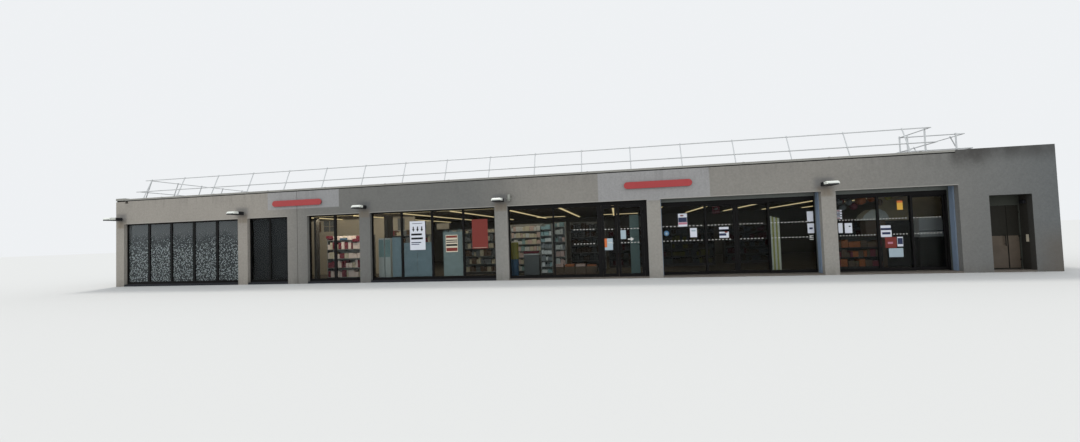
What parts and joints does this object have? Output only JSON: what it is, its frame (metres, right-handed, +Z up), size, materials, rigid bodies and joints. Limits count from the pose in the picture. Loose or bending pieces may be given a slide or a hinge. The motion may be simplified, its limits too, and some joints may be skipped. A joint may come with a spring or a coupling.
{
  "type": "supermarket building",
  "caption": "Single-storey shop building with a flat roof, guardrail, long glazed front, sliding and hinged glass doors and a recessed service door.",
  "frame": {"origin": "centre of the footprint at ground level, wall lamps and coping included", "axes": "+X to the right along the glazed front, +Y from the front to the rear, +Z up"},
  "size_m": [37.85, 15.655, 5.1782],
  "materials": {
    "wall_render": "fine grey-beige render",
    "floor_concrete": "smooth concrete",
    "roof_concrete": "plain concrete",
    "roof_felt": "grey mineral felt",
    "coping_metal": "folded light sheet",
    "sill_stone": "dark concrete",
    "frame_paint": "near-black satin paint",
    "clear_glass": "clear glass",
    "hanger_steel": "plain steel",
    "operator_metal": "dark sheet housing",
    "lining_paint": "blue-grey paint",
    "shutter_metal": "grey-green paint",
    "service_paint": "dark brown paint",
    "rail_metal": "satin metal tube",
    "lamp_body": "black paint",
    "lamp_bowl": "white moulded bowl",
    "camera_plastic": "off-white plastic",
    "ceiling_board": "pale ceiling board",
    "light_diffuser": "warm white diffuser"
  },
  "bodies": {
    "building": {"ground_floor_slab": "floor_concrete", "front_fascia_left": "wall_render", "front_fascia_right": "wall_render", "front_piers": "wall_render", "service_walls": "wall_render", "service_door_lintel": "wall_render", "left_wall": "wall_render", "right_wall": "wall_render", "rear_wall": "wall_render", "corner_upstand": "wall_render", "service_recess_lining": "wall_render", "roof_slab": "roof_concrete", "roof_covering": "roof_felt", "coping": "coping_metal", "window_sills": "sill_stone", "shop_window_frames": "frame_paint", "exit_screen_frame": "frame_paint", "way_out_frame": "frame_paint", "way_in_frame": "frame_paint", "shop_window_glass": "clear_glass", "fixed_screen_glass": "clear_glass", "door_operators": "operator_metal", "entrance_linings": "lining_paint", "shutter_guides": "shutter_metal", "shutter_boxes": "shutter_metal", "shutter_bars": "shutter_metal", "service_door_frame": "service_paint", "guardrail_front": "rail_metal", "guardrail_return_side": "rail_metal", "guardrail_return_rear": "rail_metal", "guardrail_left": "rail_metal", "guardrail_right": "rail_metal", "guardrail_rear": "rail_metal", "wall_lamp_brackets": "lamp_body", "wall_lamp_heads": "lamp_bowl", "camera": "camera_plastic", "suspended_ceiling": "ceiling_board", "ceiling_lights": "light_diffuser"},
    "exit_narrow_door": {"exit_door_narrow_leaf": "frame_paint", "exit_door_narrow_glass": "clear_glass"},
    "exit_wide_door": {"exit_door_wide_leaf": "frame_paint", "exit_door_wide_glass": "clear_glass"},
    "way_out_left_door": {"way_out_left_leaf": "frame_paint", "way_out_left_glass": "clear_glass", "way_out_left_hangers": "hanger_steel"},
    "way_out_right_door": {"way_out_right_leaf": "frame_paint", "way_out_right_glass": "clear_glass", "way_out_right_hangers": "hanger_steel"},
    "way_in_door": {"way_in_leaf": "frame_paint", "way_in_glass": "clear_glass", "way_in_hangers": "hanger_steel"},
    "service_left_door": {"service_door_left_leaf": "service_paint"},
    "service_right_door": {"service_door_right_leaf": "service_paint"}
  },
  "joints": [
    {"name": "exit_narrow_swing", "type": "hinge", "parent": "building", "child": "exit_narrow_door", "pos_m": [4.123, -7.0535, 0.1], "axis": [0, 0, -1], "range_deg": [0, 90]},
    {"name": "exit_wide_swing", "type": "hinge", "parent": "building", "child": "exit_wide_door", "pos_m": [5.702, -7.0535, 0.1], "axis": [0, 0, 1], "range_deg": [0, 90]},
    {"name": "way_out_left_slide", "type": "slide", "parent": "building", "child": "way_out_left_door", "axis": [-1, 0, 0], "range_m": [0, 1.04]},
    {"name": "way_out_right_slide", "type": "slide", "parent": "building", "child": "way_out_right_door", "axis": [1, 0, 0], "range_m": [0, 1.04]},
    {"name": "way_in_slide", "type": "slide", "parent": "building", "child": "way_in_door", "axis": [-1, 0, 0], "range_m": [0, 1]},
    {"name": "service_left_swing", "type": "hinge", "parent": "building", "child": "service_left_door", "pos_m": [17.023, -6.7035, 0.1], "axis": [0, 0, -1], "range_deg": [0, 90]},
    {"name": "service_right_swing", "type": "hinge", "parent": "building", "child": "service_right_door", "pos_m": [18.142, -6.7035, 0.1], "axis": [0, 0, 1], "range_deg": [0, 90]}
  ],
  "couplings": [
    {"joint": "way_out_left_slide", "follows": "way_out_right_slide", "ratio": 1}
  ]
}
